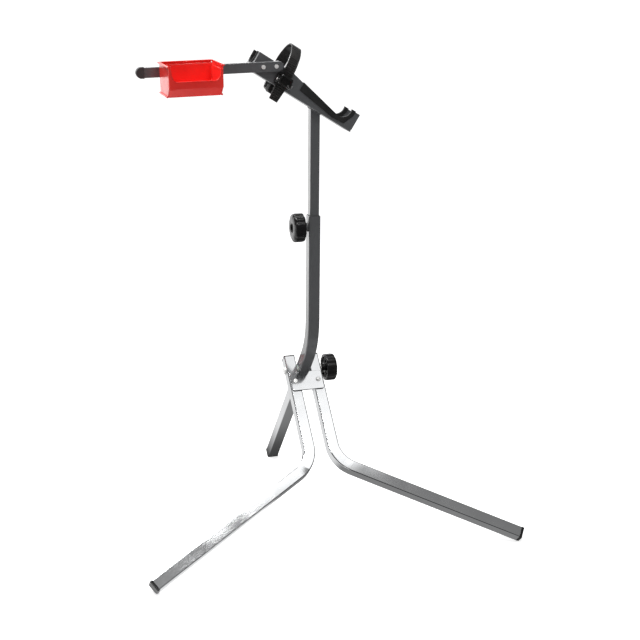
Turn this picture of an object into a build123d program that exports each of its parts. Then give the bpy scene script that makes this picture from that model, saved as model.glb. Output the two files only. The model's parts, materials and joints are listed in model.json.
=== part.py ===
"""Folding bike repair stand: tripod of square tube, telescoping mast, clamping head and tool tray.

Frame: +Z up, floor at Z = 0, origin on the floor at the middle of the stand's footprint.
The tray arm points to -X, the bottom-bracket hooks to +X, and the two front legs to -Y.
"""
from build123d import *
import os
from math import atan2, asin, cos, degrees, hypot, radians, sin, tan

os.makedirs("parts", exist_ok=True)

# ---- driving dimensions (mm, degrees) -----------------------------------------------------------
tube = 25.0                  # outside of the legs and of the outer column, square
tube_wall = 1.5
tube_corner = 2.5            # outside corner radius
mast_tube = 20.0             # outside of the telescoping tube
mast_wall = 1.5

front_lean = 46.1            # front legs' plane, from the vertical
rear_lean = 40.1             # rear leg, from the vertical
leg_spread = 27.15           # each front leg's centreline, from the middle plane
leg_top = 29.5               # leg above the pivot, along the leg
leg_bend_at = 227.5          # corner of the bend below the pivot, along the leg
leg_bend_radius = 68.0
leg_splay = 30.3             # lower leg, down from the sideways direction, in the legs' plane
leg_reach = 429.0            # corner of the bend to the end of the tube
foot_cap_length = 6.0
foot_bite = 3.5              # corner of each foot cap flattened where it meets the floor

knee_above_pivot = 115.4     # corner of the column's bend, along the rear leg's line
knee_radius = 150.0
column_top = 693.0
column_foot = 30.0           # column's end below the pivot, along the rear leg's line
clamp_height = 668.0         # upper knob's axis

plate_half_width = 36.5      # hub plate, about the middle plane
plate_top = 12.8             # below the pivot, along the legs
plate_bottom = 57.5
plate_thickness = 3.0
plate_bolt_x = 26.0
plate_bolt_drop = 34.7
plate_bolt_radius = 3.0

bolt_radius = 4.0
running = 0.075              # radial clearance of pins and threads in a moving part
knob_radius = 30.5
knob_thickness = 25.5
knob_lobes = 10

head_slope = 31.6            # head falls towards +X
head_base = 911.2            # head's lower edge above the floor, on the mast's axis
head_half = 25.0             # outside of each side plate, from the middle plane
sheet = 3.0                  # side plates and web
head_start = -163.0          # along the head, from the mast's axis
head_end = 82.0
plate_height = 41.0
taper_start = -85.0          # where the upper edge starts to fall towards the hooks
shell_along = 42.0           # centre of the bottom-bracket shell
shell_above = 36.0
shell_radius = 20.0          # of the lined hooks
lining = 1.5                 # rubber on the hooks' upper edges
lining_skirt = 13.0
lining_start = -56.0

strap_along = -95.8
strap_width = 23.0
strap_thickness = 3.0

arm_tilt = 1.5
arm_height = 20.0
arm_depth = 10.0
arm_right_end = -74.0
arm_left_end = -366.0
arm_centre_height = 1005.0   # at the rivets
rivet_places = (-115.5, -89.0)

tray_centre = -270.0
tray_width = 104.0
tray_depth = 101.0
tray_drop = 60.0
tray_wall = 2.0
window_top = 45.0            # half width of the tray's front opening, at the rim and at the lip
window_low = 37.0
lip_height = -29.0

# ---- derived frame --------------------------------------------------------------------------------
cap_half = tube / 2 + 0.3
lean_cos, lean_sin = cos(radians(front_lean)), sin(radians(front_lean))
rear_cos, rear_sin = cos(radians(rear_lean)), sin(radians(rear_lean))
splay_cos, splay_sin = cos(radians(leg_splay)), sin(radians(leg_splay))
slope_cos, slope_sin = cos(radians(head_slope)), sin(radians(head_slope))

full_reach = leg_reach + foot_cap_length
leg_fall = leg_bend_at + full_reach * splay_sin + cap_half * splay_cos   # along the legs' plane
pivot_height = leg_fall * lean_cos + cap_half * lean_sin - foot_bite
rear_length = (pivot_height - cap_half * rear_sin + foot_bite) / rear_cos - foot_cap_length
front_overhang = leg_fall * lean_sin + cap_half * lean_cos
rear_overhang = (rear_length + foot_cap_length) * rear_sin + cap_half * rear_cos
pivot_y = (front_overhang - rear_overhang) / 2
column_y = pivot_y - knee_above_pivot * rear_sin
knee_height = pivot_height + knee_above_pivot * rear_cos

pivot = (0, pivot_y, pivot_height)
legs_plane = Plane(pivot, x_dir=(1, 0, 0), z_dir=(0, -lean_cos, lean_sin))
middle = Plane((0, 0, 0), x_dir=(0, 1, 0), z_dir=(1, 0, 0))      # sketch x is Y, sketch y is Z
head_plane = Plane((0, column_y, head_base), x_dir=(slope_cos, 0, -slope_sin), z_dir=(0, -1, 0))
arm_plane = Plane(
    (rivet_places[1], column_y - head_half, arm_centre_height),
    x_dir=(cos(radians(arm_tilt)), 0, sin(radians(arm_tilt))),
    z_dir=(0, -1, 0),
)
rear_foot_end = (0, pivot_y + rear_length * rear_sin, pivot_height - rear_length * rear_cos)
rear_end_plane = Plane(rear_foot_end, x_dir=(1, 0, 0), z_dir=(0, rear_sin, -rear_cos))


def finish(builder, name):
    """Label a finished piece and write it."""
    builder.part.label = name
    export_step(builder.part, f"parts/{name}.step")


def square_tube(size, wall, corner):
    """Hollow square section, in the current sketch."""
    RectangleRounded(size, size, corner)
    RectangleRounded(size - 2 * wall, size - 2 * wall, corner - wall, mode=Mode.SUBTRACT)


# ---- front legs -----------------------------------------------------------------------------------
leg_end_x = leg_spread + leg_reach * splay_cos
leg_end_s = -leg_bend_at - leg_reach * splay_sin

with BuildPart() as front_leg_right:
    with BuildLine(legs_plane) as leg_path:
        FilletPolyline(
            (leg_spread, leg_top),
            (leg_spread, -leg_bend_at),
            (leg_end_x, leg_end_s),
            radius=leg_bend_radius,
        )
    with BuildSketch(Plane(leg_path.line @ 0, x_dir=(1, 0, 0), z_dir=leg_path.line % 0)):
        square_tube(tube, tube_wall, tube_corner)
    sweep()
    with BuildSketch(Plane.YZ.offset(leg_spread - tube)):
        with Locations((pivot_y, pivot_height)):
            Circle(bolt_radius)
    extrude(amount=2 * tube, mode=Mode.SUBTRACT)
    with BuildSketch(legs_plane.offset(-tube)):
        with Locations((plate_bolt_x, -plate_bolt_drop)):
            Circle(plate_bolt_radius)
    extrude(amount=2 * tube, mode=Mode.SUBTRACT)
finish(front_leg_right, "front_leg_right")

with BuildPart() as front_leg_left:
    mirror(front_leg_right.part, about=Plane.YZ)
finish(front_leg_left, "front_leg_left")

# Plug caps in the legs' upper ends: a thin lid with a short plug.
cap_lid = 2.6
lid_round = 0.4
lid_proud = 0.4               # lid over the tube's outside, in all
shoe_corner = 1.2
plug_size = tube - 2 * tube_wall - 0.1
plug_corner = 1.4
plug_depth = 12.0
for side, side_name in ((-1, "left"), (1, "right")):
    top_plane = Plane(
        legs_plane.from_local_coords((side * leg_spread, leg_top, 0)),
        x_dir=(1, 0, 0),
        z_dir=(0, lean_sin, lean_cos),
    )
    with BuildPart() as leg_top_cap:
        with BuildSketch(top_plane):
            RectangleRounded(tube + lid_proud, tube + lid_proud, tube_corner)
        extrude(amount=cap_lid)
        fillet(leg_top_cap.faces().sort_by(Axis((0, 0, 0), top_plane.z_dir))[-1].edges(), lid_round)
        with BuildSketch(top_plane):
            RectangleRounded(plug_size, plug_size, plug_corner)
        extrude(amount=-plug_depth)
    finish(leg_top_cap, f"leg_top_cap_{side_name}")

# Foot caps: plug, outer shoe, and a corner worn flat on the floor.
for side, side_name in ((-1, "left"), (1, "right")):
    foot_plane = Plane(
        legs_plane.from_local_coords((side * leg_end_x, leg_end_s, 0)),
        x_dir=legs_plane.z_dir,
        z_dir=legs_plane.from_local_coords((side * splay_cos, -splay_sin, 0)) - legs_plane.origin,
    )
    with BuildPart() as foot_cap:
        with BuildSketch(foot_plane):
            RectangleRounded(2 * cap_half, 2 * cap_half, shoe_corner)
        extrude(amount=foot_cap_length)
        with BuildSketch(foot_plane):
            RectangleRounded(plug_size, plug_size, plug_corner)
        extrude(amount=-plug_depth)
        split(bisect_by=Plane.XY, keep=Keep.TOP)
    finish(foot_cap, f"foot_cap_{side_name}")

with BuildPart() as foot_cap_rear:
    with BuildSketch(rear_end_plane):
        RectangleRounded(2 * cap_half, 2 * cap_half, shoe_corner)
    extrude(amount=foot_cap_length)
    with BuildSketch(rear_end_plane):
        RectangleRounded(plug_size, plug_size, plug_corner)
    extrude(amount=-plug_depth)
    split(bisect_by=Plane.XY, keep=Keep.TOP)
finish(foot_cap_rear, "foot_cap_rear")

# ---- hub ------------------------------------------------------------------------------------------
plate_height_s = plate_bottom - plate_top
plate_middle = -(plate_top + plate_bottom) / 2
hub_plate_corner = 5.0
hub_plate_edge = 0.9
with BuildPart() as hub_plate:
    with BuildSketch(legs_plane.offset(tube / 2)):
        with Locations((0, plate_middle)):
            RectangleRounded(2 * plate_half_width, plate_height_s, hub_plate_corner)
        with Locations((-plate_bolt_x, -plate_bolt_drop), (plate_bolt_x, -plate_bolt_drop)):
            Circle(plate_bolt_radius, mode=Mode.SUBTRACT)
    extrude(amount=plate_thickness)
    front_rim = hub_plate.faces().sort_by(Axis((0, 0, 0), legs_plane.z_dir))[-1].outer_wire().edges()
    fillet(front_rim, hub_plate_edge)
finish(hub_plate, "hub_plate")

# Dome-headed bolts through plate and legs, with nuts behind the legs.
bolt_head_plane = legs_plane.offset(tube / 2 + plate_thickness)
dome_radius = 5.3
dome_height = 3.0
dome_round = 2.2
bolt_tail = 7.0              # thread showing behind the legs
nut_thickness = 5.0
nut_half = 5.0               # half the distance across flats
with BuildPart() as hub_plate_bolts:
    for side in (-1, 1):
        with BuildSketch(bolt_head_plane):
            with Locations((side * plate_bolt_x, -plate_bolt_drop)):
                Circle(dome_radius)
        extrude(amount=dome_height)
    crowns = hub_plate_bolts.faces().filter_by(legs_plane).group_by(Axis((0, 0, 0), legs_plane.z_dir))[-1]
    fillet(crowns.edges(), dome_round)
    for side in (-1, 1):
        with BuildSketch(bolt_head_plane):
            with Locations((side * plate_bolt_x, -plate_bolt_drop)):
                Circle(plate_bolt_radius)
        extrude(amount=-(tube + plate_thickness + bolt_tail))
finish(hub_plate_bolts, "hub_plate_bolts")

with BuildPart() as hub_plate_nuts:
    for side in (-1, 1):
        with BuildSketch(legs_plane.offset(-tube / 2)):
            with Locations((side * plate_bolt_x, -plate_bolt_drop)):
                RegularPolygon(nut_half, 6, major_radius=False)
                Circle(plate_bolt_radius, mode=Mode.SUBTRACT)
        extrude(amount=-nut_thickness)
finish(hub_plate_nuts, "hub_plate_nuts")

# Pivot bolt along X through leg, column and leg; its head is on the left.
leg_outer = leg_spread + tube / 2
leg_inner = leg_spread - tube / 2
pivot_bolt_end = 66.0
pivot_head_radius = 8.5
pivot_head_height = 4.0
pivot_head_round = 2.5
spacer_radius = 11.0
knob_washer_radius = 10.0
pivot_side = Plane((0, pivot_y, pivot_height), x_dir=(0, 1, 0), z_dir=(1, 0, 0))
with BuildPart() as pivot_bolt:
    with BuildSketch(pivot_side.offset(-leg_outer)):
        Circle(bolt_radius)
    extrude(amount=leg_outer + pivot_bolt_end)
    with BuildSketch(pivot_side.offset(-leg_outer)):
        Circle(pivot_head_radius)
    extrude(amount=-pivot_head_height)
    fillet(pivot_bolt.faces().sort_by(Axis.X)[0].edges(), pivot_head_round)
finish(pivot_bolt, "pivot_bolt")

# Friction washers between the legs and the column, and one under the knob.
washer_gap = 0.12
spacer_thickness = leg_inner - tube / 2 - washer_gap
with BuildPart() as hub_spacers:
    for side in (-1, 1):
        with BuildSketch(pivot_side.offset(side * leg_inner)):
            Circle(spacer_radius)
            Circle(bolt_radius, mode=Mode.SUBTRACT)
        extrude(amount=-side * spacer_thickness)
finish(hub_spacers, "hub_spacers")

knob_washer_thickness = 2.0
with BuildPart() as knob_washer:
    with BuildSketch(pivot_side.offset(leg_outer)):
        Circle(knob_washer_radius)
        Circle(bolt_radius, mode=Mode.SUBTRACT)
    extrude(amount=knob_washer_thickness)
finish(knob_washer, "knob_washer")

# ---- rear leg and column --------------------------------------------------------------------------
stud_clearance = 0.5
rear_start = (0, pivot_y + column_foot * rear_sin, pivot_height - column_foot * rear_cos)
with BuildPart() as rear_leg:
    with BuildSketch(Plane(rear_start, x_dir=(1, 0, 0), z_dir=(0, rear_sin, -rear_cos))):
        square_tube(tube, tube_wall, tube_corner)
    extrude(amount=rear_length - column_foot)
finish(rear_leg, "rear_leg")

with BuildPart() as outer_column:
    with BuildLine(middle) as column_path:
        FilletPolyline(
            (rear_start[1], rear_start[2]),
            (column_y, knee_height),
            (column_y, column_top),
            radius=knee_radius,
        )
    with BuildSketch(Plane(column_path.line @ 0, x_dir=(1, 0, 0), z_dir=column_path.line % 0)):
        square_tube(tube, tube_wall, tube_corner)
    sweep()
    with BuildSketch(pivot_side.offset(-tube)):
        Circle(bolt_radius + running)
    extrude(amount=2 * tube, mode=Mode.SUBTRACT)
    with BuildSketch(Plane.YZ.offset(-tube)):
        with Locations((column_y, clamp_height)):
            Circle(bolt_radius + stud_clearance)
    extrude(amount=tube, mode=Mode.SUBTRACT)
finish(outer_column, "outer_column")

# Square steel sleeve inside both tubes, joining the chromed leg to the painted column.
sleeve_half = 50.0
sleeve_extra = 30.0          # further reach into the chromed leg
sleeve_wall = 2.0
sleeve_corner = 2.5
sleeve_start = (0, pivot_y - sleeve_half * rear_sin, pivot_height + sleeve_half * rear_cos)
with BuildPart() as joint_sleeve:
    with BuildSketch(Plane(sleeve_start, x_dir=(1, 0, 0), z_dir=(0, rear_sin, -rear_cos))):
        square_tube(plug_size, sleeve_wall, sleeve_corner)
    extrude(amount=2 * sleeve_half + sleeve_extra)
    with BuildSketch(pivot_side.offset(-tube)):
        Circle(bolt_radius + running)
    extrude(amount=2 * tube, mode=Mode.SUBTRACT)
finish(joint_sleeve, "joint_sleeve")

# Plastic guide bush in the column's mouth.
bush_outer = tube - 2 * tube_wall - 0.1
bush_inner = mast_tube + 0.2
bush_length = 18.0
bush_sunk = 1.0              # bush's top below the column's mouth
with BuildPart() as guide_bush:
    with BuildSketch(Plane((0, column_y, column_top - bush_length - bush_sunk))):
        RectangleRounded(bush_outer, bush_outer, 1.0)
        RectangleRounded(bush_inner, bush_inner, 2.0, mode=Mode.SUBTRACT)
    extrude(amount=bush_length)
finish(guide_bush, "guide_bush")

# Threaded boss welded to the column's left face.
boss_length = 6.0
boss_radius = 7.8
boss_chamfer = 0.8
clamp_side = Plane((0, column_y, clamp_height), x_dir=(0, 1, 0), z_dir=(1, 0, 0))
with BuildPart() as clamp_boss:
    with BuildSketch(clamp_side.offset(-tube / 2)):
        Circle(boss_radius)
        Circle(bolt_radius + running, mode=Mode.SUBTRACT)
    extrude(amount=-boss_length)
    chamfer(clamp_boss.faces().sort_by(Axis.X)[0].edges().sort_by(SortBy.LENGTH)[-1:], boss_chamfer)
finish(clamp_boss, "clamp_boss")


# ---- knobs ----------------------------------------------------------------------------------------
knob_neck_radius = 7.6
knob_edge_round = 3.5
scallop_radius = 6.0
scallop_at = knob_radius + 3.6
back_hollow_outer = 23.0
back_hollow_inner = 10.5
back_hollow_depth = 9.0
face_recess_radius = 8.8
face_recess_depth = 2.5
bore_in_body = 17.0          # depth of the blind bore inside the knob's body
stud_in_body = 15.5


def make_knob(plane, name, neck_length):
    """Star knob on a plane at its hub-facing end, axis along the plane's normal."""
    body = plane.offset(neck_length)
    with BuildPart() as knob:
        with BuildSketch(body):
            Circle(knob_radius)
        extrude(amount=knob_thickness)
        rims = knob.edges().filter_by(GeomType.CIRCLE).group_by(SortBy.RADIUS)[-1]
        fillet(rims, knob_edge_round)
        with BuildSketch(body):
            with PolarLocations(scallop_at, knob_lobes):
                Circle(scallop_radius)
        extrude(amount=knob_thickness, mode=Mode.SUBTRACT)
        with BuildSketch(body):
            Circle(back_hollow_outer)
            Circle(back_hollow_inner, mode=Mode.SUBTRACT)
        extrude(amount=back_hollow_depth, mode=Mode.SUBTRACT)
        with BuildSketch(plane):
            Circle(knob_neck_radius)
        extrude(amount=neck_length)
        with BuildSketch(body.offset(knob_thickness - face_recess_depth)):
            Circle(face_recess_radius)
        extrude(amount=face_recess_depth, mode=Mode.SUBTRACT)
        with BuildSketch(plane):
            Circle(bolt_radius + running)
        extrude(amount=neck_length + bore_in_body, mode=Mode.SUBTRACT)
    finish(knob, name)


upper_neck = 3.3
knob_gap = 0.4
upper_start = tube / 2 + boss_length + knob_gap
make_knob(clamp_side.offset(-upper_start).rotated((0, 180, 0)), "upper_knob", upper_neck)
lower_start = leg_outer + knob_washer_thickness + knob_gap
lower_body_start = 50.7       # from the middle plane
lower_neck = lower_body_start - lower_start
make_knob(pivot_side.offset(lower_start), "lower_knob", lower_neck)

# Clamping stud of the upper knob: it presses on the mast through the boss.
stud_tip = mast_tube / 2 + 0.3
with BuildPart() as upper_knob_stud:
    with BuildSketch(clamp_side.offset(-stud_tip)):
        Circle(bolt_radius)
    extrude(amount=-(upper_start + upper_neck + stud_in_body - stud_tip))
finish(upper_knob_stud, "upper_knob_stud")

# ---- mast -----------------------------------------------------------------------------------------
mast_bottom = 573.0
mast_corner = 2.0
end_plug_size = tube - 2 * tube_wall - 0.3
end_plug_lid = 5.0
underside = Plane((0, column_y, head_base), x_dir=(0, 1, 0), z_dir=(slope_sin, 0, slope_cos))
with BuildPart() as mast:
    with BuildSketch(Plane((0, column_y, mast_bottom))):
        square_tube(mast_tube, mast_wall, mast_corner)
    extrude(amount=head_base + mast_tube - mast_bottom)
    split(bisect_by=underside, keep=Keep.BOTTOM)
finish(mast, "mast")

with BuildPart() as mast_end_plug:
    with BuildSketch(Plane((0, column_y, mast_bottom))):
        RectangleRounded(end_plug_size, end_plug_size, 1.0)
    extrude(amount=-end_plug_lid)
    with BuildSketch(Plane((0, column_y, mast_bottom))):
        RectangleRounded(mast_tube - 2 * mast_wall - 0.1, mast_tube - 2 * mast_wall - 0.1, 1.2)
    extrude(amount=plug_depth)
finish(mast_end_plug, "mast_end_plug")


# ---- head -----------------------------------------------------------------------------------------
def hook_edge(inset, tip_height):
    """Points of the upper edge from the taper to the hook's tip, inset below the lined edge."""
    radius = shell_radius + inset
    start = (taper_start, plate_height - 0.5)
    reach = (shell_along - start[0], shell_above - start[1])
    distance = hypot(*reach)
    fall = degrees(asin(radius / distance)) - degrees(atan2(reach[1], reach[0]))

    def on_arc(angle):
        return (shell_along + radius * cos(radians(angle)), shell_above + radius * sin(radians(angle)))

    tip_angle = degrees(asin((tip_height - shell_above) / radius))
    touch = on_arc(-90 - fall)
    low = on_arc((-90 - fall + tip_angle) / 2)
    tip = on_arc(tip_angle)
    return start, touch, low, tip


hook_height = 40.0
fold_radius = 2.5
steel_start, steel_touch, steel_low, steel_tip = hook_edge(lining, hook_height)
plate_corner = 4.0
tip_corner = 7.0
with BuildPart() as head_channel:
    for inner_face in (head_half - sheet, -head_half):
        plate_plane = head_plane.offset(inner_face)
        with BuildSketch(plate_plane) as side_profile:
            with BuildLine():
                Polyline((head_start, plate_height), (head_start, 0), (head_end, 0))
                Polyline((head_end, 0), (head_end, hook_height), steel_tip)
                ThreePointArc(steel_tip, steel_low, steel_touch)
                Polyline(steel_touch, steel_start, (head_start, plate_height))
            make_face()
            upper_corner = plate_plane.from_local_coords((head_start, plate_height, 0))
            fillet(side_profile.vertices().sort_by_distance(upper_corner)[:1], plate_corner)
            tip = plate_plane.from_local_coords((head_end, hook_height, 0))
            fillet(side_profile.vertices().sort_by_distance(tip)[:1], tip_corner)
        extrude(amount=sheet)
    with BuildSketch(head_plane.offset(-head_half)):
        with Locations(((head_start + head_end) / 2, sheet / 2)):
            Rectangle(head_end - head_start, sheet)
    extrude(amount=2 * head_half)
    long_edges = head_channel.edges().filter_by(lambda edge: edge.length > head_end - head_start - 1)
    fillet(long_edges.group_by(Axis((0, 0, 0), head_plane.y_dir))[0], fold_radius)
finish(head_channel, "head_channel")

# Down-tube cradle: a notched plate across the head's upper end, with a rubber edging.
cradle_start = head_start - sheet
notch_radius = 15.0
notch_bottom = 13.0
cradle_plane = Plane(
    head_plane.from_local_coords((cradle_start, 0, 0)),
    x_dir=(0, 1, 0),
    z_dir=(slope_cos, 0, -slope_sin),
)
notch_centre = notch_bottom + notch_radius


def notch(radius):
    """U-shaped notch open at the top, in the current sketch (sketch -y is up the plate)."""
    with Locations((0, up_sign * notch_centre)):
        Circle(radius)
    with Locations((0, up_sign * (notch_centre + 20.0))):
        Rectangle(2 * radius, 40.0)


up_sign = 1 if cradle_plane.y_dir.Z > 0 else -1
with BuildPart() as cradle_plate:
    with BuildSketch(cradle_plane):
        with Locations((0, up_sign * plate_height / 2)):
            Rectangle(2 * head_half, plate_height)
        with BuildSketch(mode=Mode.SUBTRACT):
            notch(notch_radius)
    extrude(amount=sheet)
finish(cradle_plate, "cradle_plate")

with BuildPart() as cradle_pad:
    with BuildSketch(cradle_plane.offset(-2.0)):
        notch(notch_radius)
        with BuildSketch(mode=Mode.SUBTRACT):
            notch(notch_radius - 2.5)
        with Locations((0, up_sign * (plate_height + 30.0))):
            Rectangle(80.0, 60.0, mode=Mode.SUBTRACT)
    extrude(amount=sheet + 9.0)
finish(cradle_pad, "cradle_pad")

# Rubber linings that straddle the upper edges of the hooks.
liner_tip = hook_height + lining
outer_touch, outer_low, outer_tip = hook_edge(0.0, liner_tip)[1:]
skirt_touch, skirt_low, skirt_tip = hook_edge(lining_skirt, liner_tip - 10.0)[1:]


def along_edge(start, touch, place):
    """Point of a straight edge from start to touch at a place along the head."""
    share = (place - start[0]) / (touch[0] - start[0])
    return (place, start[1] + share * (touch[1] - start[1]))


outer_from = along_edge((steel_start[0], steel_start[1] + lining), outer_touch, lining_start)
steel_from = along_edge(steel_start, steel_touch, lining_start)
skirt_from = (lining_start, outer_from[1] - 18.0)
lining_end = outer_tip[0] + 9.0
skirt_foot = (skirt_touch[0], 6.0)
lining_side = 1.6            # rubber on each face of a side plate
for side, side_name in ((1, "near"), (-1, "far")):
    plate_out = side * head_half
    plate_in = side * (head_half - sheet)
    with BuildPart() as hook_lining:
        for start, thickness in ((plate_out, side * lining_side), (plate_in, -side * lining_side)):
            with BuildSketch(head_plane.offset(start)):
                with BuildLine():
                    Polyline(skirt_from, outer_from, outer_touch)
                    ThreePointArc(outer_touch, outer_low, outer_tip)
                    Polyline(outer_tip, (lining_end, outer_tip[1]), (lining_end, skirt_tip[1]), skirt_low)
                    Polyline(skirt_low, skirt_foot, skirt_from)
                make_face()
            extrude(amount=thickness)
        with BuildSketch(head_plane.offset(min(plate_in, plate_out))):
            with BuildLine():
                Polyline(steel_from, outer_from, outer_touch)
                ThreePointArc(outer_touch, outer_low, outer_tip)
                Line(outer_tip, steel_tip)
                ThreePointArc(steel_tip, steel_low, steel_touch)
                Line(steel_touch, steel_from)
            make_face()
        extrude(amount=sheet)
    finish(hook_lining, f"hook_lining_{side_name}")

# ---- strap and buckle -----------------------------------------------------------------------------
strap_plane = Plane(
    head_plane.from_local_coords((strap_along, 0, 0)),
    x_dir=(0, 1, 0),
    z_dir=(-slope_cos, 0, slope_sin),
)
strap_up = 1 if strap_plane.y_dir.Z > 0 else -1
strap_points = (
    (-31.6, -27.0),
    (-31.6, 24.0),
    (-27.0, 50.0),
    (-12.0, 74.0),
    (14.0, 93.0),
    (40.0, 86.0),
    (55.0, 62.0),
    (57.0, 35.0),
    (51.0, 8.0),
    (36.0, -14.0),
    (12.0, -10.0),
)
strap_bends = (60.0, 50.0, 40.0, 34.0, 32.0, 32.0, 55.0, 50.0, 18.0)
with BuildPart() as strap:
    with BuildLine(strap_plane) as strap_path:
        FilletPolyline(*[(y, strap_up * v) for y, v in strap_points], radius=list(strap_bends))
    with BuildSketch(Plane(strap_path.line @ 0, x_dir=strap_plane.z_dir, z_dir=strap_path.line % 0)):
        Rectangle(strap_width, strap_thickness)
    sweep()
finish(strap, "strap")

# Moulded anchor under the web that holds the strap's fixed end.
anchor_half = 11.4
anchor_drop = 15.0
anchor_corner = 4.0
with BuildPart() as strap_anchor:
    with BuildSketch(head_plane.offset(-anchor_half)):
        with Locations((strap_along, -anchor_drop / 2)):
            RectangleRounded(strap_width + 5.0, anchor_drop, anchor_corner)
    extrude(amount=2 * anchor_half)
    anchor_ends = strap_anchor.faces().filter_by(head_plane)
    fillet(anchor_ends.edges().filter_by(GeomType.CIRCLE), 1.0)
finish(strap_anchor, "strap_anchor")

buckle_low = 5.0
buckle_high = 31.0
buckle_half = 17.0
cheek = 3.0
cheek_height = 18.0
cheek_middle = (buckle_low + buckle_high) / 2 - 2.0
base_thickness = 3.5
pin_out = 15.5               # pin's axis in front of the side plate
pin_above = 14.0
pin_radius = 2.0
with BuildPart() as buckle_base:
    with BuildSketch(head_plane.offset(head_half)):
        with Locations((strap_along, (buckle_low + buckle_high) / 2)):
            RectangleRounded(2 * buckle_half, buckle_high - buckle_low, 3.0)
    extrude(amount=base_thickness)
    for side in (-1, 1):
        with BuildSketch(head_plane.offset(head_half + base_thickness)):
            with Locations((strap_along + side * (buckle_half - cheek / 2), cheek_middle)):
                Rectangle(cheek, cheek_height)
        extrude(amount=pin_out + 2.5 - base_thickness)
    with Locations(head_plane.location * Location((strap_along, pin_above, head_half + pin_out))):
        Cylinder(pin_radius, 4 * buckle_half, rotation=(0, 90, 0), mode=Mode.SUBTRACT)
finish(buckle_base, "buckle_base")

with BuildPart() as buckle_pin:
    with Locations(head_plane.location * Location((strap_along, pin_above, head_half + pin_out))):
        Cylinder(pin_radius, 2 * buckle_half + 2.0, rotation=(0, 90, 0))
finish(buckle_pin, "buckle_pin")

lever_half = buckle_half - cheek - 0.4
lever_barrel = 4.0
lever_reach = 20.0
with BuildPart() as buckle_lever:
    with Locations(head_plane.location * Location((strap_along, pin_above, head_half + pin_out))):
        Cylinder(lever_barrel, 2 * lever_half, rotation=(0, 90, 0))
        Box(2 * lever_half, lever_reach, 3.0, align=(Align.CENTER, Align.MIN, Align.CENTER))
        Cylinder(pin_radius + running, 4 * lever_half, rotation=(0, 90, 0), mode=Mode.SUBTRACT)
finish(buckle_lever, "buckle_lever")

# ---- tray arm -------------------------------------------------------------------------------------
arm_right = arm_right_end - rivet_places[1]
arm_left = arm_left_end - rivet_places[1]
arm_length = arm_right - arm_left
arm_edge_round = 1.6
rivet_radius = 2.5
with BuildPart() as tray_arm:
    with BuildSketch(arm_plane):
        with Locations(((arm_right + arm_left) / 2, 0)):
            SlotOverall(arm_length, arm_height)
    extrude(amount=arm_depth)
    fillet(tray_arm.edges().filter_by(lambda edge: edge.length > 40), arm_edge_round)
    with BuildSketch(arm_plane):
        with Locations((rivet_places[0] - rivet_places[1], 0), (0, 0)):
            Circle(rivet_radius)
    extrude(amount=arm_depth, mode=Mode.SUBTRACT)
finish(tray_arm, "tray_arm")

# Plastic cap over the arm's free end.
end_cap_wall = 0.8
end_cap_length = 15.0
cap_height = arm_height + 2 * end_cap_wall
with BuildPart() as arm_end_cap:
    with BuildSketch(arm_plane.offset(-end_cap_wall)):
        with Locations((arm_left - end_cap_wall + cap_height / 2, 0)):
            Circle(cap_height / 2)
        with Locations((arm_left + end_cap_length / 2 + cap_height / 4, 0)):
            Rectangle(end_cap_length - cap_height / 2, cap_height)
    extrude(amount=arm_depth + 2 * end_cap_wall)
    add(tray_arm.part, mode=Mode.SUBTRACT)
    with BuildSketch(arm_plane.offset(-end_cap_wall)):
        with Locations((arm_left + end_cap_length + 20.0, 0)):
            Rectangle(40.0, 2 * cap_height)
    extrude(amount=arm_depth + 2 * end_cap_wall, mode=Mode.SUBTRACT)
finish(arm_end_cap, "arm_end_cap")

rivet_head_height = 2.0
rivet_head_radius = 4.0
with BuildPart() as arm_rivets:
    for place in rivet_places:
        with BuildSketch(arm_plane.offset(arm_depth)):
            with Locations((place - rivet_places[1], 0)):
                Circle(rivet_head_radius)
        extrude(amount=rivet_head_height)
        with BuildSketch(arm_plane.offset(arm_depth)):
            with Locations((place - rivet_places[1], 0)):
                Circle(rivet_radius)
        extrude(amount=-arm_depth)
finish(arm_rivets, "arm_rivets")

# ---- tray -----------------------------------------------------------------------------------------
tray_gap = 0.4
rim_above_arm = 10.0
tray_plane = Plane(
    arm_plane.from_local_coords(
        (tray_centre - rivet_places[1], arm_height / 2 + rim_above_arm, arm_depth + tray_gap)
    ),
    x_dir=(0, -1, 0),
    z_dir=-arm_plane.x_dir,
)                            # sketch x runs out of the tray's front, sketch y is up
tray_front_low = 76.0        # depth of the floor
tray_kink = 16.0             # height of the front wall's inward slope
hook_plate = 2.2
hook_seat = tray_gap - rim_above_arm
hook_back = -arm_depth - 2 * tray_gap
hook_drop = 14.0
rim_height = 3.0
rim_proud = 2.5
foot_height = 4.0
foot_proud = 2.0
window_bend = -12.0          # where the window's posts start to curve in


def tray_side(inset):
    """Side outline of the bin, in the current sketch, drawn inset inside the outer walls."""
    Polygon(
        (inset, inset),
        (inset, inset - tray_drop),
        (tray_front_low - inset, inset - tray_drop),
        (tray_depth - 4.0 - inset, tray_kink + inset / 2 - tray_drop),
        (tray_depth - inset, inset),
        align=None,
    )


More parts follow.
